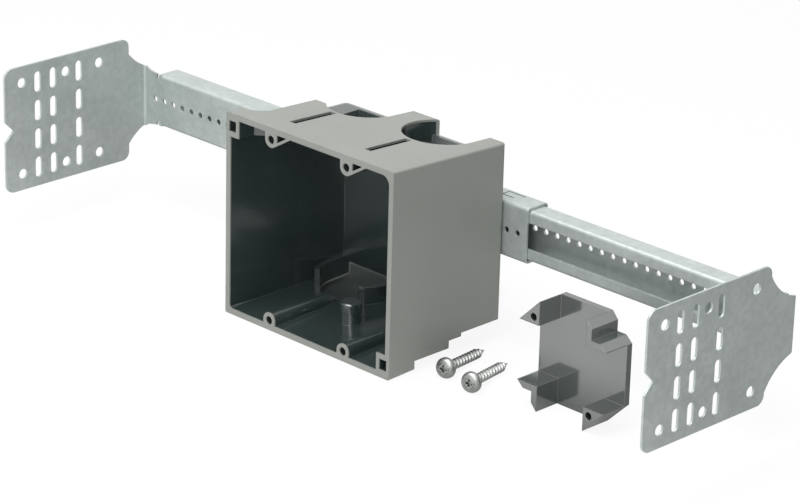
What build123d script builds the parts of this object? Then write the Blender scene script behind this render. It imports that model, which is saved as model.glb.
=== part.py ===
from build123d import *
import os

# Two-gang switch box on a telescoping bracket that spans two wall studs.
# X runs along the bar, +Y goes from the open front to the back, +Z is up.
# The origin is the centre of the four device screw holes, on the front face.

# Box: one moulding
box_width = 102.4
box_depth = 67.8
box_top = 47.2
box_bottom = -46.2
draft = 2.8                 # top and bottom walls close in this much from front to back
wall = 2.6
back_wall = 2.5
side_draft = 0.4            # the cavity narrows this much per side towards the back
mouth_corner_top = 4.2      # inner corner radii of the opening, upper right and lower left
mouth_corner_low = 1.5
edge_radius = 0.8
rear_corner_radius = 2.2

device_pitch_x = 46.04
device_pitch_z = 83.34
device_hole = 3.8
device_hole_depth = 30.0
boss_radius = 3.6
boss_length = 37.0
boss_slot_width = 3.6       # groove above each boss, open to the outside
boss_slot_start = 12.5
gusset_angle = 31.0         # thin wall from each upper boss up to the top wall
gusset_run = 12.4
gusset_thickness = 1.2
gusset_depth = 9.0

pad_width = 7.9             # solid front pads, upper left and lower right
pad_height = 10.8
pad_hole_inset_x = 3.9
pad_hole_inset_z = 6.0
pad_hole_width = 4.3
pad_hole_height = 4.9
left_draft = 4.7            # the left wall closes in this far at the back

corner_notch_start = 9.3    # behind the front flange
corner_notch_slant_x = 4.7  # from the side, where the front of the notch turns
corner_notch_end = 15.3     # back end of that slant, and of the front pads
corner_notch_width = 10.2
corner_notch_deep = 8.3
corner_notch_shallow = 4.8
corner_notch_step = 36.0    # the lower right notch is shallow up to here

ledge_drop = 9.9            # cable ledge below the front top edge
left_recess_x = -22.0
left_recess_back = 12.2     # circle centre to the back of the box
left_recess_radius = 17.4
left_recess_rear = -2.8     # where the recess's right side meets the back
right_recess_x = 24.3
right_recess_back = 11.8
right_recess_radius = 17.6
right_recess_rear = 41.9
rail_length = 24.3          # side rails, from the back of the box
ledge_edge_x = -36.0

post_x = 0.3
post_y = 27.0
post_radius = 4.9
post_step = 0.5
post_step_height = 4.4
post_height = 10.9

# Folded brackets: sheet, bar section and fit
sheet = 1.0
fold_inside = 0.6
plate_fold_inside = 1.5
bar_height = 25.4
bar_depth = 12.7
bar_level = 5.4             # bar centre line above the device screw centre
bar_gap = 0.2               # box back to bar
slide_clearance = 0.2
sleeve_lip = 8.0
inner_lip = 5.5
sleeve_right = 64.5
inner_left = -150.0

bar_hole = 2.8
bar_hole_pitch = 6.35
bar_hole_sides = 10
sleeve_hole_count = 38
inner_hole_count = 53
inner_hole_from_plate = 9.1

left_plate_x = -183.8       # face that looks at the box
right_plate_x = 202.2       # face that looks away from the box
left_fold = 84.0            # plate's front edge to the face of the bar's web
right_fold = 92.2
plate_height = 60.0
plate_depth = 74.2
plate_front_radius = 4.5
plate_rear_radius = 4.0
neck_radius = 26.0
left_neck_length = 20.2
right_neck_length = 22.9
relief_width = 1.6
relief_depth = 2.0
notch_depth = 4.8
notch_height = 9.8

nail_hole = 4.8
nail_pitch_z = 44.3
nail_front = 9.9            # columns are measured from the plate's front edge
nail_middle = 35.9
left_nail_back = 56.0
right_nail_back = 65.3
slot_columns = [19.2, 28.3, 43.7]
slot_pitch = 13.86
slot_rows = 4
slot_length = 10.0
slot_width = 3.8
slot_sides = 12             # the many slots and bar holes are cut as polygons

stop_tab_x = 44.0
stop_tab_length = 10.0
stop_tab_width = 5.2
stop_tab_slit = 0.8
stop_tab_inset = 2.4

# Rear clamp plate: one moulding
clamp_width = 47.8
clamp_height = 49.2
clamp_thickness = 3.0
clamp_reach = 13.0          # lugs in front of the plate
clamp_bar_clearance = 0.55
lug_leg_x = 10.9
lug_leg_z = 10.8
lug_hole = 3.4
lug_hole_inset = 3.1        # from the lug's square corner, both ways
arm_thickness = 3.0
arm_start_x = 12.7
arm_tip = 3.4
clamp_x = 127.0             # where it stands on the bench, beside the box
clamp_y = 36.1

# Clamp screws: low round head, combination drive; the shank is the thread's mean diameter
screw_length = 31.0
screw_diameter = 4.6
screw_shank = 4.0
screw_tip = 6.0
screw_tip_radius = 0.4
head_diameter = 9.2
head_height = 3.0
head_rim = 1.3
head_flat = 5.0
drive_width = 1.3
drive_depth = 1.6
drive_length = 4.6
screw_places = [(64.8, 21.0, 13.0), (82.4, 18.2, 15.0)]  # head seat x, y and turn

cut_margin = 1.0            # cutting solids reach this far past the faces they cut

bench = box_bottom
half_width = box_width / 2
box_middle = (box_top + box_bottom) / 2
ledge_z = box_top - ledge_drop
rail_start = box_depth - rail_length
bar_front = box_depth + bar_gap
bar_back = bar_front + bar_depth
inner_back = bar_back - sheet - slide_clearance
left_plate_front = bar_front - left_fold
right_plate_front = inner_back - right_fold
clamp_hole_diameter = screw_diameter + 2 * slide_clearance
lug_hole_x = clamp_width / 2 - lug_leg_x + lug_hole_inset
lug_hole_z = clamp_height / 2 - lug_leg_z + lug_hole_inset


def block(x_pair, y_pair, z_pair):
    pairs = (x_pair, y_pair, z_pair)
    sizes = [high - low for low, high in pairs]
    middle = [(high + low) / 2 for low, high in pairs]
    return Pos(*middle) * Box(*sizes)


def along_y(face, start, end):
    return extrude(Plane.XZ.offset(-start) * face, amount=start - end)


def along_x(face, start, end):
    return extrude(Plane.YZ.offset(start) * face, amount=end - start)


def along_z(face, start, end):
    return extrude(Plane.XY.offset(start) * face, amount=end - start)


def outline(*points):
    return make_face(Polyline(*points, close=True))


def hole_along_y(x, z, diameter, start, end):
    return along_y(Pos(x, z) * Circle(diameter / 2), start, end)


def hole_along_x(y, z, diameter, start, end):
    return along_x(Pos(y, z) * Circle(diameter / 2), start, end)


def half_turn(shape):
    return shape.rotate(Axis((0, 0, box_middle), (0, 1, 0)), 180)


# Box

def box_plan(inset):
    # Seen from above; only the left side moves in with the inset
    left = inset - half_width
    return outline((left, 0), (half_width, 0), (half_width, box_depth), (left + left_draft, box_depth))


def box_envelope():
    plan = box_plan(0)
    plan = fillet(plan.vertices().group_by(Axis.Y)[-1], rear_corner_radius)
    side = outline((0, box_bottom), (box_depth, box_bottom + draft),
                   (box_depth, box_top - draft), (0, box_top))
    body = along_z(plan, box_bottom, box_top) & along_x(side, -half_width, half_width)
    long_edges = [e for e in body.edges() if abs((e @ 1 - e @ 0).Y) > box_depth / 2]
    return fillet(long_edges, edge_radius)


def cavity_face(y):
    share = y / box_depth
    right = half_width - wall - side_draft * share
    top = box_top - wall - draft * share
    bottom = box_bottom + wall + draft * share
    face = outline((-right, bottom), (right, bottom), (right, top), (-right, top))
    face = fillet([v for v in face.vertices() if v.X > 0 and v.Y > box_middle], mouth_corner_top)
    face = fillet([v for v in face.vertices() if v.X < 0 and v.Y < box_middle], mouth_corner_low)
    return Plane.XZ.offset(-y) * face


def box_cavity():
    cavity = loft([cavity_face(0), cavity_face(box_depth - back_wall)])
    return cavity & along_z(box_plan(wall), box_bottom, box_top)


def corner_notch(side_start, depth, grow=0.0):
    edge = corner_notch_width - half_width + grow
    plan = outline((-box_width, side_start - grow), (corner_notch_slant_x - half_width, side_start - grow),
                   (edge, corner_notch_end - grow), (edge, box_width), (-box_width, box_width))
    return along_z(plan, box_top - depth - grow, box_top + wall)


def recess_plan(x, from_back, radius, rear_right, end):
    y = box_depth - from_back
    side = outline((x, y), (x + radius, y), (rear_right, box_width), (x, box_width))
    reach = Pos(0, end - box_width) * Rectangle(2 * box_width, 2 * box_width)
    return (Pos(x, y) * Circle(radius) + side) & reach


def both_recesses(end, low, grow=0.0):
    left = recess_plan(left_recess_x, left_recess_back, left_recess_radius + grow,
                       left_recess_rear + grow, end)
    right = recess_plan(right_recess_x, right_recess_back, right_recess_radius + grow,
                        right_recess_rear + grow, end)
    return along_z(left, low, box_top + wall) + along_z(right, low, box_top + wall)


def cable_ledge_cut():
    corner = block((-box_width, left_recess_x), (rail_start, box_width), (ledge_z, box_top + wall))
    return both_recesses(box_width, ledge_z) + corner


def cable_openings():
    beyond_ledge = block((ledge_edge_x, box_width), (0, box_width), (0, box_width))
    return both_recesses(box_depth - back_wall, ledge_z - 2 * wall) & beyond_ledge


def inner_walls():
    low = ledge_z - wall
    deep = block((-half_width, half_width), (rail_start, box_depth), (low, box_top))
    walls = both_recesses(box_depth, low, wall) & deep
    walls += block((-half_width, ledge_edge_x), (rail_start - wall, box_depth), (low, ledge_z))
    walls += block((-half_width, ledge_edge_x), (rail_start - wall, rail_start), (low, box_top))
    return walls


def device_boss(x, z, length):
    side = 1 if z > 0 else -1
    stem = Pos(x, z + side * boss_radius) * Rectangle(2 * boss_radius, 2 * boss_radius)
    return along_y(Pos(x, z) * Circle(boss_radius) + stem, 0, length)


def boss_gusset(x, z):
    # A band that touches the boss from below and climbs to the top wall
    band = Pos(gusset_run / 2, gusset_thickness / 2 - boss_radius) * Rectangle(
        gusset_run, gusset_thickness)
    return along_y(Pos(x, z) * Rot(0, 0, gusset_angle) * band, 0, gusset_depth)


def corner_pad():
    return block((-half_width, pad_width - half_width), (0, corner_notch_end),
                 (box_top - pad_height, box_top))


def pad_hole():
    slot = Pos(pad_hole_inset_x - half_width, box_top - pad_hole_inset_z) * Rectangle(
        pad_hole_width, pad_hole_height)
    return along_y(slot, -cut_margin, corner_notch_end - 2 * wall)


def floor_post():
    floor = box_bottom + wall / 2
    top = box_bottom + wall + post_height
    lip = top - post_step_height
    low = along_z(Pos(post_x, post_y) * Circle(post_radius - post_step), floor, lip)
    high = along_z(Pos(post_x, post_y) * Circle(post_radius), lip, top)
    return low + chamfer(high.faces().sort_by(Axis.Z)[-1].edges(), post_step)


def box_body():
    envelope = box_envelope()
    body = envelope - box_cavity()
    upper = inner_walls() + corner_pad() + corner_notch(corner_notch_start, corner_notch_deep, wall)
    lower = inner_walls() + corner_pad() + corner_notch(corner_notch_end, corner_notch_deep, wall)
    body += envelope & upper
    body += envelope & half_turn(lower)
    for x in (-device_pitch_x / 2, device_pitch_x / 2):
        body += envelope & boss_gusset(x, device_pitch_z / 2)
        for z in (-device_pitch_z / 2, device_pitch_z / 2):
            body += envelope & device_boss(x, z, boss_length)
    body += floor_post()

    stepped = corner_notch(corner_notch_end, corner_notch_shallow)
    stepped += corner_notch(corner_notch_end, corner_notch_deep) & block(
        (-box_width, box_width), (corner_notch_step, box_width), (0, box_width))
    cuts = cable_ledge_cut() + cable_openings() + pad_hole()
    body -= cuts
    body -= half_turn(cuts)
    body -= corner_notch(corner_notch_start, corner_notch_deep)
    body -= half_turn(stepped)
    for x in (-device_pitch_x / 2, device_pitch_x / 2):
        slot_x = (x - boss_slot_width / 2, x + boss_slot_width / 2)
        slot_y = (boss_slot_start, boss_length)
        body -= block(slot_x, slot_y, (device_pitch_z / 2, box_width))
        body -= block(slot_x, slot_y, (-box_width, -device_pitch_z / 2))
        for z in (-device_pitch_z / 2, device_pitch_z / 2):
            body -= hole_along_y(x, z, device_hole, -cut_margin, device_hole_depth)
    for side in (-1, 1):
        body -= hole_along_y(side * lug_hole_x, bar_level - side * lug_hole_z,
                             clamp_hole_diameter, box_depth - 2 * back_wall, box_depth + cut_margin)
    return body


# Folded brackets

def channel(depth_pair, height, lip, lip_at_front):
    depth = depth_pair[1] - depth_pair[0]
    middle = (depth_pair[0] + depth_pair[1]) / 2
    outer = RectangleRounded(depth, height, fold_inside + sheet)
    inner = RectangleRounded(depth - 2 * sheet, height - 2 * sheet, fold_inside)
    lip_side = -1 if lip_at_front else 1
    gap = Pos(lip_side * depth / 2, 0) * Rectangle(3 * sheet, height - 2 * lip)
    return Pos(middle, bar_level) * (outer - inner - gap)


def plate_outline(front, neck_length, neck_height, end):
    # The sheet seen from the side: plate, then a neck that narrows in two round bites
    rear = front + plate_depth
    neck_end = rear + neck_length
    face = Pos((front + rear) / 2, 0) * Rectangle(plate_depth, plate_height)
    face = fillet(face.vertices().group_by(Axis.X)[0], plate_front_radius)
    face = fillet(face.vertices().group_by(Axis.X)[-1], plate_rear_radius)
    overlap = neck_length / 2
    face += Pos((rear - overlap + end) / 2, 0) * Rectangle(
        end - rear + overlap, plate_height - 2 * plate_rear_radius)
    for side in (-1, 1):
        centre_z = side * (neck_height / 2 + neck_radius)
        bite = Pos(neck_end, centre_z) * Circle(neck_radius)
        bite &= Pos(rear + box_width / 2, centre_z) * Rectangle(box_width, 4 * neck_radius)
        beyond = Pos(neck_end + box_width / 2, side * (neck_height + plate_height) / 2) * Rectangle(
            box_width, plate_height)
        face -= bite + beyond
    notch = outline((front - cut_margin, notch_height / 2 + cut_margin), (front + notch_depth, 0),
                    (front - cut_margin, -notch_height / 2 - cut_margin))
    return Pos(0, bar_level) * (face - notch)


def slot_face():
    round_end = RegularPolygon(slot_width / 2, slot_sides)
    run = slot_length - slot_width
    return Rectangle(slot_width, run) + Pos(0, run / 2) * round_end + Pos(0, -run / 2) * round_end


def plate_holes(front, nail_back, x_pair):
    cuts = []
    for column in (nail_front, nail_middle, nail_back):
        for side in (-1, 1):
            z = bar_level + side * nail_pitch_z / 2
            cuts.append(hole_along_x(front + column, z, nail_hole, *x_pair))
    for column in slot_columns:
        for row in range(slot_rows):
            z = bar_level + (row - (slot_rows - 1) / 2) * slot_pitch
            cuts.append(along_x(Pos(front + column, z) * slot_face(), *x_pair))
    return cuts


def folded_strip(plate_x, plate_front, web_y, web_end, side):
    # The strip seen from above; side is +1 where the web runs to +X from the fold, else -1
    far_x = plate_x - side * sheet
    plan = outline((plate_x, plate_front), (far_x, plate_front), (far_x, web_y + sheet),
                   (web_end, web_y + sheet), (web_end, web_y), (plate_x, web_y))
    inner = plan.vertices().sort_by_distance((plate_x, web_y))[0]
    plan = fillet(inner, plate_fold_inside)
    outer = plan.vertices().sort_by_distance((far_x, web_y + sheet))[0]
    plan = fillet(outer, plate_fold_inside + sheet)
    half = plate_height / 2
    return along_z(plan, bar_level - half, bar_level + half)


def web_bites(plate_x, fold_y, neck_end, neck_height, side):
    cuts = []
    end_x = plate_x + side * (neck_end - fold_y)
    for up in (-1, 1):
        centre_z = bar_level + up * (neck_height / 2 + neck_radius)
        round_bite = Pos(end_x, centre_z) * Circle(neck_radius)
        span = Pos(plate_x + side * (plate_fold_inside + box_width / 2), centre_z) * Rectangle(
            box_width, 4 * neck_radius)
        beyond = Pos(end_x + side * box_width / 2, centre_z) * Rectangle(
            box_width, 2 * neck_radius)
        above = Pos(end_x, centre_z + up * neck_radius) * Rectangle(
            2 * box_width, 2 * neck_radius)
        face = (round_bite + beyond + above) & span
        cuts.append(along_y(face, fold_y - 2 * sheet, fold_y + 2 * sheet))
        relief = Pos(end_x - side * relief_width / 2,
                     bar_level + up * neck_height / 2) * Rectangle(relief_width, 2 * relief_depth)
        cuts.append(along_y(relief, fold_y - 2 * sheet, fold_y + 2 * sheet))
    return cuts


def bar_holes(first, count, step, y_pair):
    hole = RegularPolygon(bar_hole / 2, bar_hole_sides)
    return [along_y(Pos(first + i * step, bar_level) * hole, *y_pair) for i in range(count)]


def stop_tab_slits():
    back = bar_back - stop_tab_inset
    front = back - stop_tab_width
    z_pair = (bar_level + bar_height / 2 - 2 * sheet, bar_level + bar_height / 2 + sheet)
    right = stop_tab_x + stop_tab_length
    slits = block((stop_tab_x, right), (back - stop_tab_slit, back), z_pair)
    slits += block((stop_tab_x, right - stop_tab_width / 2), (front, front + stop_tab_slit), z_pair)
    slits += block((stop_tab_x, stop_tab_x + stop_tab_slit), (front, back), z_pair)
    return slits


def outer_bracket():
    web_y = bar_front
    neck_end = left_plate_front + plate_depth + left_neck_length
    sleeve_left = left_plate_x + neck_end - web_y
    strip = folded_strip(left_plate_x, left_plate_front, web_y, sleeve_left + 2 * sheet, 1)
    blank = plate_outline(left_plate_front, left_neck_length, bar_height, bar_back)
    reach = (left_plate_x - 2 * sheet, left_plate_x + plate_fold_inside + 2 * sheet)
    strip = (strip & along_x(blank, *reach)) + (strip - block(
        (reach[0] - cut_margin, reach[1]), (-box_width, box_width), (-box_width, box_width)))
    for cut in web_bites(left_plate_x, web_y, neck_end, bar_height, 1):
        strip -= cut
    for cut in plate_holes(left_plate_front, left_nail_back, reach):
        strip -= cut
    sleeve = along_x(channel((bar_front, bar_back), bar_height, sleeve_lip, False),
                     sleeve_left, sleeve_right)
    bracket = strip + (sleeve - stop_tab_slits())
    first_hole = sleeve_right - bar_hole_pitch * (sleeve_hole_count - 0.14)
    for hole in bar_holes(first_hole, sleeve_hole_count, bar_hole_pitch,
                          (web_y - sheet, web_y + 2 * sheet)):
        bracket -= hole
    return bracket


def inner_bracket():
    gap = sheet + slide_clearance
    depth_pair = (bar_front + gap, inner_back)
    height = bar_height - 2 * gap
    web_y = depth_pair[1] - sheet
    neck_end = right_plate_front + plate_depth + right_neck_length
    channel_right = right_plate_x - (neck_end - depth_pair[1])
    strip = folded_strip(right_plate_x - sheet, right_plate_front, web_y,
                         channel_right - 2 * sheet, -1)
    blank = plate_outline(right_plate_front, right_neck_length, height, bar_back)
    reach = (right_plate_x - sheet - plate_fold_inside - 2 * sheet, right_plate_x + sheet)
    strip = (strip & along_x(blank, *reach)) + (strip - block(
        (reach[0], reach[1] + cut_margin), (-box_width, box_width), (-box_width, box_width)))
    for cut in web_bites(right_plate_x, depth_pair[1], neck_end, height, -1):
        strip -= cut
    for cut in plate_holes(right_plate_front, right_nail_back, reach):
        strip -= cut
    bar = along_x(channel(depth_pair, height, inner_lip, True), inner_left, channel_right)
    bracket = strip + bar
    first_hole = right_plate_x - inner_hole_from_plate
    for hole in bar_holes(first_hole, inner_hole_count, -bar_hole_pitch,
                          (web_y - sheet, web_y + 2 * sheet)):
        bracket -= hole
    return bracket


# Rear clamp plate and its screws

def corner_arm():
    # L-shaped wall round the plate's upper right corner, its tips cut at 45 degrees
    right = clamp_width / 2
    top = clamp_height / 2
    low = bar_height / 2 + clamp_bar_clearance
    return outline((arm_start_x, low), (right, low), (right - arm_tip, low + arm_thickness),
                   (arm_start_x + arm_thickness, low + arm_thickness),
                   (arm_start_x + arm_thickness, top - arm_tip), (arm_start_x, top))


def clamp_outline():
    right = clamp_width / 2
    top = clamp_height / 2
    low = bar_height / 2 + clamp_bar_clearance
    half = [(arm_start_x, top), (arm_start_x + arm_thickness, top - arm_tip),
            (arm_start_x + arm_thickness, low + arm_thickness),
            (right - arm_tip, low + arm_thickness), (right, low),
            (right, lug_leg_z - top), (right - lug_leg_x, -top)]
    return outline(*half, *[(-x, -z) for x, z in half])


def clamp_plate_at_bar():
    right = clamp_width / 2
    top = clamp_height / 2
    lug = outline((-right, top - lug_leg_z), (lug_leg_x - right, top - lug_leg_z),
                  (lug_leg_x - right, top))
    hole = Pos(-lug_hole_x, lug_hole_z) * Circle(lug_hole / 2)
    turned = Rot(0, 0, 180)
    body = along_y(clamp_outline(), 0, clamp_thickness)
    for face in (lug, turned * lug, corner_arm(), turned * corner_arm()):
        body += along_y(face, -clamp_reach, clamp_thickness)
    for face in (hole, turned * hole):
        body -= along_y(face, -clamp_reach - cut_margin, clamp_thickness + cut_margin)
    return body


def clamp_plate():
    return Pos(clamp_x, clamp_y, bench + clamp_height / 2) * clamp_plate_at_bar()


def screw():
    # Seat of the head at the origin, shank towards +Y
    shank_end = screw_length - screw_tip
    profile = outline((0, -head_height), (head_flat / 2, -head_height), (head_diameter / 2, -head_rim),
                      (head_diameter / 2, 0), (screw_shank / 2, 0), (screw_shank / 2, shank_end),
                      (screw_tip_radius, screw_length), (0, screw_length))
    drive = Rectangle(drive_length, drive_width) + Rectangle(drive_width, drive_length)
    return revolve(profile, Axis.Y) - along_y(drive, -head_height - cut_margin,
                                              drive_depth - head_height)


def screw_tilt():
    # The screw lies on the rim of its head and on the thread's last full crest
    rise = (head_diameter - screw_diameter) / 2
    return Vector(screw_length - screw_tip, 0, 0).get_angle(Vector(screw_length - screw_tip, 0, rise))


def clamp_screw(place):
    x, y, turn = place
    seat = Pos(x, y, bench + head_diameter / 2)
    return seat * Rot(0, 0, turn) * Rot(-screw_tilt(), 0, 0) * screw()


parts = {
    "box_body": box_body(),
    "outer_bracket": outer_bracket(),
    "inner_bracket": inner_bracket(),
    "clamp_plate": clamp_plate(),
    "clamp_screw_1": clamp_screw(screw_places[0]),
    "clamp_screw_2": clamp_screw(screw_places[1]),
}

os.makedirs("parts", exist_ok=True)
for name, shape in parts.items():
    export_step(shape, f"parts/{name}.step")
    print(name, round(shape.volume / 1000, 2), "cm3")
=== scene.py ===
# Look of a two-gang switch box on its telescoping stud bracket,
# with the clamp plate and the screws beside it
import math

import bmesh
import bpy
from mathutils import Matrix, Vector

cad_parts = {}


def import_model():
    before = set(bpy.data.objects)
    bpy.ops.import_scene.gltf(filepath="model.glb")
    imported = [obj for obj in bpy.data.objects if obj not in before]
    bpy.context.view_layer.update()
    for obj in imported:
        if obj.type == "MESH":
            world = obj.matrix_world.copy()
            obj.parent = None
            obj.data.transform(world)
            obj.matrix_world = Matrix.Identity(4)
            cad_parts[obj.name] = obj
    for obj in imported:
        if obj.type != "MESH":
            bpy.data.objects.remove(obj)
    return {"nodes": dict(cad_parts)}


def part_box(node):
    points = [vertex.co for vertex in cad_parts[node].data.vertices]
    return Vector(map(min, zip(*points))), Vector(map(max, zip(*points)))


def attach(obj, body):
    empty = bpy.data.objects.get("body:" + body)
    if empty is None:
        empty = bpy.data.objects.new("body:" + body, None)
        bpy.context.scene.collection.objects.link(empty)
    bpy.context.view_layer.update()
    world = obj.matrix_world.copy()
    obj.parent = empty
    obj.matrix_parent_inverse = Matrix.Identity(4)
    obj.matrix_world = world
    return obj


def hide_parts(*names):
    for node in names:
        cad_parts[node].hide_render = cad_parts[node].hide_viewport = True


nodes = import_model()["nodes"]
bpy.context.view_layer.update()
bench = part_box("box_body")[0].z

camera = {
    "place": (0.95917, -0.91849, 0.51965),
    "turn": -0.7770506,     # radians from +Y towards +X
    "drop": 0.3741292,      # radians below the horizon
    "roll": 0.0262612,
    "lens": 150.494,        # millimetres on the sensor below
    "sensor": 36,
    "clip": (0.05, 20),
}


def placeCamera():
    turn, drop, roll = camera["turn"], camera["drop"], camera["roll"]
    flat = math.cos(drop)
    ahead = Vector((math.sin(turn) * flat, math.cos(turn) * flat, -math.sin(drop)))
    level = Vector((math.cos(turn), -math.sin(turn), 0))
    upright = level.cross(ahead)
    right = level * math.cos(roll) + upright * math.sin(roll)
    up = upright * math.cos(roll) - level * math.sin(roll)
    data = bpy.data.cameras.new("camera")
    data.lens = camera["lens"]
    data.sensor_width = camera["sensor"]
    data.clip_start, data.clip_end = camera["clip"]
    view = bpy.data.objects.new("camera", data)
    bpy.context.scene.collection.objects.link(view)
    axes = Matrix((right, up, -ahead)).transposed().to_4x4()
    view.matrix_world = Matrix.Translation(camera["place"]) @ axes
    bpy.context.scene.camera = view


placeCamera()
print("camera placed")


# Shader helpers

def startMaterial(name):
    mat = bpy.data.materials.new(name)
    mat.use_nodes = True
    tree = mat.node_tree
    return mat, tree, tree.nodes["Principled BSDF"]


def add(tree, kind, **values):
    node = tree.nodes.new(kind)
    for key, value in values.items():
        setattr(node, key, value)
    return node


def feed(tree, socket, value):
    if isinstance(value, bpy.types.NodeSocket):
        tree.links.new(value, socket)
    else:
        socket.default_value = value


def calc(tree, operation, *values):
    node = add(tree, "ShaderNodeMath", operation=operation)
    for socket, value in zip(node.inputs, values):
        feed(tree, socket, value)
    return node.outputs[0]


def blend(tree, share, first, second, kind="RGBA"):
    node = add(tree, "ShaderNodeMix", data_type=kind)
    start = {"FLOAT": 2, "RGBA": 6}[kind]
    for place, value in ((0, share), (start, first), (start + 1, second)):
        feed(tree, node.inputs[place], value)
    return node.outputs[{"FLOAT": 0, "RGBA": 2}[kind]]


def cover(tree, share, under, over):
    node = add(tree, "ShaderNodeMixShader")
    for socket, value in zip(node.inputs, (share, under, over)):
        tree.links.new(value, socket)
    return node.outputs[0]


def objectPoint(tree):
    return add(tree, "ShaderNodeTexCoord").outputs["Object"]


def objectAxes(tree):
    node = add(tree, "ShaderNodeSeparateXYZ")
    tree.links.new(objectPoint(tree), node.inputs[0])
    return node.outputs


def noise(tree, point, scale, detail=4, roughness=0.55):
    node = add(tree, "ShaderNodeTexNoise")
    node.inputs["Scale"].default_value = scale
    node.inputs["Detail"].default_value = detail
    node.inputs["Roughness"].default_value = roughness
    tree.links.new(point, node.inputs["Vector"])
    return node.outputs["Fac"]


toneStops = {"dark": 0.3, "pale": 0.7}


def tone(tree, source, look):
    node = add(tree, "ShaderNodeValToRGB")
    for stop, (shade, place) in zip(node.color_ramp.elements, toneStops.items()):
        stop.position = place
        stop.color = (*look[shade], 1)
    tree.links.new(source, node.inputs["Fac"])
    return node.outputs["Color"]


def spread(tree, source, low, high):
    node = add(tree, "ShaderNodeMapRange")
    node.inputs["To Min"].default_value = low
    node.inputs["To Max"].default_value = high
    tree.links.new(source, node.inputs["Value"])
    return node.outputs["Result"]


def ease(tree, source, start, end, low=0.0, high=1.0):
    node = add(tree, "ShaderNodeMapRange", interpolation_type="SMOOTHSTEP")
    for key, value in (("Value", source), ("From Min", start), ("From Max", end),
                       ("To Min", low), ("To Max", high)):
        feed(tree, node.inputs[key], value)
    return node.outputs["Result"]


def relief(tree, shader, source, look):
    # Fine bumps over edges that shade as rounded
    edge = add(tree, "ShaderNodeBevel", samples=4)
    edge.inputs["Radius"].default_value = look["edge"]
    node = add(tree, "ShaderNodeBump")
    node.inputs["Strength"].default_value = look["bump"]
    node.inputs["Distance"].default_value = look["bumpDepth"]
    tree.links.new(source, node.inputs["Height"])
    tree.links.new(edge.outputs["Normal"], node.inputs["Normal"])
    tree.links.new(node.outputs["Normal"], shader.inputs["Normal"])


# Plastic

cavity = {
    "reach": 0.0502,        # half the box's width, half way through the wall
    "rise": 0.0457,         # and half its height
    "middle": 0.0005,
    "draft": (4.7 / 67.8, 0.4 / 67.8, 2.8 / 67.8),  # left wall, right wall, top and bottom
    "front": 0.0006,
    "back": 0.0667,
}


def insideShadeMask(tree, look):
    # One inside the box's walls, nought on their outer faces; where it is one, the box is
    # painted darker as painted shade inside the cavity
    x, y, z = objectAxes(tree)
    left, right, high = (calc(tree, "MULTIPLY", y, slope) for slope in look["draft"])
    across = calc(tree, "MAXIMUM", calc(tree, "SUBTRACT", left, x), calc(tree, "ADD", right, x))
    offset = calc(tree, "ABSOLUTE", calc(tree, "SUBTRACT", z, look["middle"]))
    narrow = calc(tree, "LESS_THAN", across, look["reach"])
    low = calc(tree, "LESS_THAN", calc(tree, "ADD", offset, high), look["rise"])
    deep = calc(tree, "GREATER_THAN", y, look["front"])
    ahead = calc(tree, "LESS_THAN", y, look["back"])
    walls = calc(tree, "MULTIPLY", narrow, low)
    return calc(tree, "MULTIPLY", walls, calc(tree, "MULTIPLY", deep, ahead))


moulding = {
    "toneScale": 28,
    "roughScale": 60,
    "grainScale": 1400,
    "grainDetail": 2,
    "bump": 0.012,
    "bumpDepth": 0.0002,
    "edge": 0.0005,
}
# Inside of the box: its dark colour is painted shade, its low roughness and IOR are its gloss
glossAndPaintedShadeLook = {
    "dark": (0.026, 0.039, 0.038),
    "pale": (0.034, 0.048, 0.046),
    "rough": (0.11, 0.19),
    "ior": 2.0,
}
mattLook = {
    "dark": (0.229, 0.238, 0.217),
    "pale": (0.251, 0.260, 0.239),
    "rough": (0.38, 0.46),
    "ior": 1.6,
}
clampLook = {
    "dark": (0.030, 0.040, 0.038),
    "pale": (0.040, 0.052, 0.049),
    "rough": (0.09, 0.15),
    "ior": 2.9,
}


def plasticFinish(tree, point, look):
    colour = tone(tree, noise(tree, point, moulding["toneScale"]), look)
    rough = spread(tree, noise(tree, point, moulding["roughScale"]), *look["rough"])
    return colour, rough


def plastic(name, look, outer=None):
    mat, tree, shader = startMaterial(name)
    point = objectPoint(tree)
    colour, rough = plasticFinish(tree, point, look)
    shader.inputs["IOR"].default_value = look["ior"]
    # Inside the cavity the box takes the darker look, which is painted shade
    if outer:
        inside = insideShadeMask(tree, cavity)
        outerColour, outerRough = plasticFinish(tree, point, outer)
        colour = blend(tree, inside, outerColour, colour)
        rough = blend(tree, inside, outerRough, rough, "FLOAT")
        tree.links.new(spread(tree, inside, outer["ior"], look["ior"]), shader.inputs["IOR"])
    tree.links.new(colour, shader.inputs["Base Color"])
    tree.links.new(rough, shader.inputs["Roughness"])
    grain = noise(tree, point, moulding["grainScale"], moulding["grainDetail"])
    relief(tree, shader, grain, moulding)
    return mat


# Plated steel

steelLook = {
    "dark": (0.455, 0.50, 0.485),
    "pale": (0.54, 0.585, 0.57),
    "rough": (0.40, 0.52),
    "spangle": 420,
    "cloud": 55,
    "cloudShare": 0.72,
    "metal": 0.6,
    "bump": 0.05,
    "bumpDepth": 0.0002,
    "edge": 0.0003,
}
zincLook = {
    **steelLook,
    "dark": (0.30, 0.31, 0.30),
    "pale": (0.40, 0.41, 0.40),
    "rough": (0.34, 0.46),
    "spangle": 900,
    "metal": 1.0,
    "edge": 0.0001,
}


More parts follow.
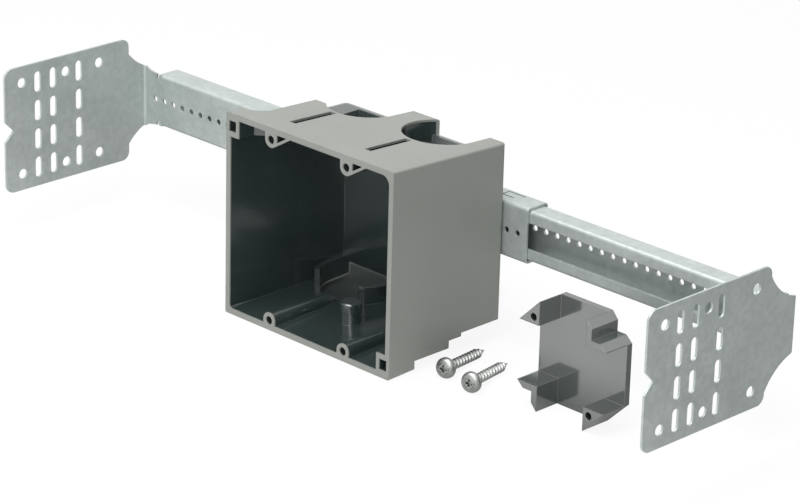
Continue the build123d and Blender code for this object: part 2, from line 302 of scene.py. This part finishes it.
def galvanised(name, look):
    mat, tree, shader = startMaterial(name)
    point = objectPoint(tree)
    cells = add(tree, "ShaderNodeTexVoronoi")
    cells.inputs["Scale"].default_value = look["spangle"]
    tree.links.new(point, cells.inputs["Vector"])
    shades = add(tree, "ShaderNodeSeparateColor")
    tree.links.new(cells.outputs["Color"], shades.inputs["Color"])
    clouds = noise(tree, point, look["cloud"])
    spangle = blend(tree, look["cloudShare"], shades.outputs["Red"], clouds, "FLOAT")
    tree.links.new(tone(tree, spangle, look), shader.inputs["Base Color"])
    tree.links.new(spread(tree, spangle, *look["rough"]), shader.inputs["Roughness"])
    shader.inputs["Metallic"].default_value = look["metal"]
    relief(tree, shader, spangle, look)
    return mat


def dress(node, mat):
    mesh = nodes[node].data
    mesh.materials.clear()
    mesh.materials.append(mat)


dress("box_body", plastic("boxPlasticPaintedShadeInside", glossAndPaintedShadeLook, mattLook))
dress("clamp_plate", plastic("clampPlastic", clampLook))
dress("outer_bracket", galvanised("sleeveSteel", steelLook))
dress("inner_bracket", galvanised("barSteel", steelLook))
screwZinc = galvanised("screwZinc", zincLook)
print("materials ready")


# Screws

def placeMesh(bm, name, mat):
    mesh = bpy.data.meshes.new(name)
    bm.to_mesh(mesh)
    bm.free()
    mesh.materials.append(mat)
    made = bpy.data.objects.new(name, mesh)
    bpy.context.scene.collection.objects.link(made)
    return made


screwLook = {
    "length": 0.031,
    "tip": 0.006,           # length of the point
    "tipRadius": 0.0002,
    "tipBelly": 0.55,       # radius and place of the point's bend, as shares
    "coreRadius": 0.0015,
    "threadRadius": 0.0023,
    "threadEnd": 0.985,     # share of the length
    "threadThin": 0.08,     # share of the radius left at the point
    "ridge": 1.1,           # radius of the thread's section, as a share of its rise
    "pitch": 0.0024,
    "plainNeck": 0.0016,
    "headRadius": 0.0046,
    "headHeight": 0.0031,
    "rimHeight": 0.0011,
    "rimRound": 0.0002,
    "dome": (0.3, 0.6, 0.85),       # rings between rim and crown
    "domeFull": 0.7,        # a power, lower is fuller
    "driveRadius": 0.0023,
    "driveWidth": 0.0011,
    "driveDepth": 0.0012,
    "driveTaper": 0.72,
    "driveRing": (1.12, 0.985),     # shares of the drive's radius and the head's height
    "steps": 28,
    "sharp": 35,            # degrees
}
screwPlaces = {
    "clamp_screw_1": {"seat": (0.0648, 0.0210), "turn": 13},
    "clamp_screw_2": {"seat": (0.0824, 0.0182), "turn": 15},
}


def turnProfile(bm, corners, steps):
    verts = [bm.verts.new((x, 0, z)) for x, z in corners]
    edges = [bm.edges.new(pair) for pair in zip(verts, verts[1:])]
    bmesh.ops.spin(bm, geom=verts + edges, cent=(0, 0, 0), axis=(0, 0, 1),
                   angle=2 * math.pi, steps=steps, use_merge=True)


def screwHead(bm, look):
    # A dome round Z, open in the middle for the drive
    radius, height, rim = look["headRadius"], look["headHeight"], look["rimHeight"]
    corners = [(look["coreRadius"], 0), (radius - look["rimRound"], 0),
               (radius, look["rimRound"]), (radius, rim)]
    for share in look["dome"]:
        angle = share * math.pi / 2
        corners.append((radius * math.cos(angle) ** look["domeFull"],
                        rim + (height - rim) * math.sin(angle)))
    wide, high = look["driveRing"]
    corners.append((look["driveRadius"] * wide, height * high))
    turnProfile(bm, corners, look["steps"])
    return [e for e in bm.edges if e.is_boundary and min(v.co.z for v in e.verts) > rim]


def screwDrive(bm, look):
    # Five faces of a grid make the cross, which is then pushed in
    half, arm = look["driveRadius"], look["driveWidth"] / 2
    verts = bmesh.ops.create_grid(bm, x_segments=3, y_segments=3, size=half)["verts"]
    for v in verts:
        for axis in (0, 1):
            if abs(v.co[axis]) < half / 2:
                v.co[axis] = arm if v.co[axis] > 0 else -arm
        v.co.z = look["headHeight"]
    faces = {f for v in verts for f in v.link_faces}
    corners = [f for f in faces if all(abs(f.calc_center_median()[a]) > arm for a in (0, 1))]
    bmesh.ops.delete(bm, geom=corners, context="FACES")
    cross = [f for f in faces if f.is_valid]
    rim = [e for e in {e for f in cross for e in f.edges} if e.is_boundary]
    pushed = bmesh.ops.extrude_face_region(bm, geom=cross)
    floor = [v for v in pushed["geom"] if isinstance(v, bmesh.types.BMVert)]
    bmesh.ops.translate(bm, vec=(0, 0, -look["driveDepth"]), verts=floor)
    bmesh.ops.scale(bm, vec=(look["driveTaper"], look["driveTaper"], 1), verts=floor)
    bmesh.ops.delete(bm, geom=[f for f in cross if f.is_valid], context="FACES")
    return [e for e in rim if e.is_valid]


def screwShank(bm, look):
    core, full, belly = look["coreRadius"], look["length"], look["tipBelly"]
    end = full - look["tip"]
    corners = [(core, 0), (core, -end), (core * belly, -end - look["tip"] * belly),
               (look["tipRadius"], -full)]
    turnProfile(bm, corners, look["steps"])


def screwThread(bm, look):
    # A three-sided ridge wound down the shank, thinned towards the point
    end = look["length"] - look["tip"]
    run = look["length"] * look["threadEnd"] - look["plainNeck"]
    rise = look["threadRadius"] - look["coreRadius"]
    ridge = bmesh.ops.create_circle(bm, segments=3, radius=rise * look["ridge"])["verts"]
    quarter = Matrix.Rotation(math.pi / 2, 3, "X")
    bmesh.ops.rotate(bm, verts=ridge, cent=(0, 0, 0), matrix=quarter)
    tallest = max(v.co.z for v in ridge)
    for v in ridge:
        v.co = (v.co.z, 0, v.co.x)
    start = (look["threadRadius"] - tallest, 0, -look["plainNeck"])
    bmesh.ops.translate(bm, verts=ridge, vec=start)
    turns = run / look["pitch"]
    steps = round(turns * look["steps"])
    edges = list({e for v in ridge for e in v.link_edges})
    before = set(bm.verts) - set(ridge)
    bmesh.ops.spin(bm, geom=ridge + edges, cent=(0, 0, 0), axis=(0, 0, 1),
                   dvec=(0, 0, -run / steps), angle=turns * 2 * math.pi, steps=steps)
    for v in set(bm.verts) - before:
        past = -v.co.z - end
        if past > 0:
            share = max(look["threadThin"], 1 - past / look["tip"])
            v.co.x *= share
            v.co.y *= share


def makeScrew(node, look, place):
    bm = bmesh.new()
    bmesh.ops.bridge_loops(bm, edges=screwHead(bm, look) + screwDrive(bm, look))
    screwShank(bm, look)
    screwThread(bm, look)
    bmesh.ops.holes_fill(bm, edges=bm.edges, sides=0)
    bmesh.ops.remove_doubles(bm, verts=bm.verts, dist=0.000001)
    bmesh.ops.recalc_face_normals(bm, faces=bm.faces)
    crest = look["headRadius"] - look["threadRadius"]
    tilt = math.atan2(crest, look["length"] - look["tip"])  # it lies on its head and thread
    lay = Matrix.Rotation(math.pi / 2 - tilt, 4, "X")
    turn = Matrix.Rotation(math.radians(place["turn"]), 4, "Z")
    seat = Matrix.Translation((*place["seat"], bench + look["headRadius"]))
    bmesh.ops.transform(bm, matrix=seat @ turn @ lay, verts=bm.verts)
    screw = placeMesh(bm, node + "_threaded", screwZinc)
    for face in screw.data.polygons:
        face.use_smooth = True
    screw.data.set_sharp_from_angle(angle=math.radians(look["sharp"]))
    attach(screw, "box")
    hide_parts(node)


for node, place in screwPlaces.items():
    makeScrew(node, screwLook, place)
print("screws made")


# Floor, world and lamps

def layGrid(name, half, look, mat):
    bm = bmesh.new()
    bmesh.ops.create_grid(bm, x_segments=look["faces"], y_segments=look["faces"], size=half)
    bmesh.ops.translate(bm, vec=(0, 0, bench - look["drop"]), verts=bm.verts)
    return placeMesh(bm, name, mat)


floorLook = {
    "half": 6.0,
    "faces": 2,             # along each side
    "drop": 0.0001,         # below the bench
    "colour": (0.86, 0.86, 0.86),
    "rough": 0.9,
    "shadow": 0.10,         # how much of the shadow shows on the white floor
    "near": 1.0,            # brightness of the painted reflection in gloss, in front of the object
    "far": 0.24,            # and behind it, darker there
    "between": (-0.012, 0.048),
}


def layFloor(look):
    mat, tree, shader = startMaterial("paleFloor")
    shader.inputs["Base Color"].default_value = (*look["colour"], 1)
    shader.inputs["Roughness"].default_value = look["rough"]
    path = add(tree, "ShaderNodeLightPath")
    _, y, _ = objectAxes(tree)
    # In gloss the floor shows a painted reflection, bright in front of the object and darker
    # behind it
    white = add(tree, "ShaderNodeEmission")
    sheen = add(tree, "ShaderNodeEmission")
    strength = ease(tree, y, *look["between"], look["near"], look["far"])
    tree.links.new(strength, sheen.inputs["Strength"])
    surface = shader.outputs[0]
    for ray, glow in (("Is Camera Ray", white), ("Is Glossy Ray", sheen)):
        shown = calc(tree, "MULTIPLY", path.outputs[ray], 1 - look["shadow"])
        surface = cover(tree, shown, surface, glow.outputs[0])
    tree.links.new(surface, tree.nodes["Material Output"].inputs["Surface"])
    layGrid("floor", look["half"], look, mat)


shadeLook = {
    "colour": (0.024, 0.033, 0.032),
    "rough": 1.0,
    "faces": 1,
    "drop": 0.00005,        # below the bench, above the floor
    "sides": (-0.047, 0.030),
    "lean": 0.16,           # the sides drift to the left towards the back
    "front": 0.010,
    "back": 0.097,
    "soft": 0.006,
    "backSoft": 0.018,
}


def layShade(look):
    # Painted shade: a dark sheet on the ground under the box and just behind it, which goes
    # where the box goes
    mat, tree, shader = startMaterial("boxShade")
    shader.inputs["Base Color"].default_value = (*look["colour"], 1)
    shader.inputs["Roughness"].default_value = look["rough"]
    x, y, _ = objectAxes(tree)
    leaning = calc(tree, "MULTIPLY_ADD", y, look["lean"], x)
    left, right = look["sides"]
    within = 1
    for high, low, soft in ((leaning, left, look["soft"]), (right, leaning, look["soft"]),
                            (y, look["front"], look["soft"]),
                            (look["back"], y, look["backSoft"])):
        inside = ease(tree, calc(tree, "SUBTRACT", high, low), -soft, soft)
        within = calc(tree, "MULTIPLY", within, inside)
    clear = add(tree, "ShaderNodeBsdfTransparent")
    surface = cover(tree, within, clear.outputs[0], shader.outputs[0])
    tree.links.new(surface, tree.nodes["Material Output"].inputs["Surface"])
    shade = layGrid("box_shade", look["back"] + look["backSoft"], look, mat)
    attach(shade, "box")


worldLook = {
    "fill": {"Color": (0.97, 1.0, 1.0, 1), "Strength": 0.38},
    "seen": {"Color": (1, 1, 1, 1), "Strength": 1.0},   # by the camera and in gloss
}


def setWorld(look):
    world = bpy.data.worlds.new("studio")
    bpy.context.scene.world = world
    world.use_nodes = True
    tree = world.node_tree
    tree.nodes.clear()
    sky = {}
    for name, values in look.items():
        sky[name] = add(tree, "ShaderNodeBackground")
        for key, value in values.items():
            sky[name].inputs[key].default_value = value
    rays = add(tree, "ShaderNodeLightPath").outputs
    either = calc(tree, "MAXIMUM", rays["Is Camera Ray"], rays["Is Glossy Ray"])
    surface = cover(tree, either, sky["fill"].outputs[0], sky["seen"].outputs[0])
    out = add(tree, "ShaderNodeOutputWorld")
    tree.links.new(surface, out.inputs["Surface"])


lamps = {
    "top": {"place": (0.0, -0.35, 1.25), "size": 1.0, "watts": 18.5},
    "front": {"place": (0.75, -1.15, 0.75), "size": 0.7, "watts": 7.2},
}


def hangLamp(name, look):
    data = bpy.data.lights.new(name, "AREA")
    data.energy = look["watts"]
    data.size = look["size"]
    lamp = bpy.data.objects.new(name, data)
    bpy.context.scene.collection.objects.link(lamp)
    lamp.location = look["place"]
    aim = -Vector(look["place"])
    lamp.rotation_euler = aim.to_track_quat("-Z", "Y").to_euler()


layFloor(floorLook)
layShade(shadeLook)
setWorld(worldLook)
for name, look in lamps.items():
    hangLamp(name, look)
bpy.context.scene.view_settings.view_transform = "Standard"
print("floor, world and lamps set")
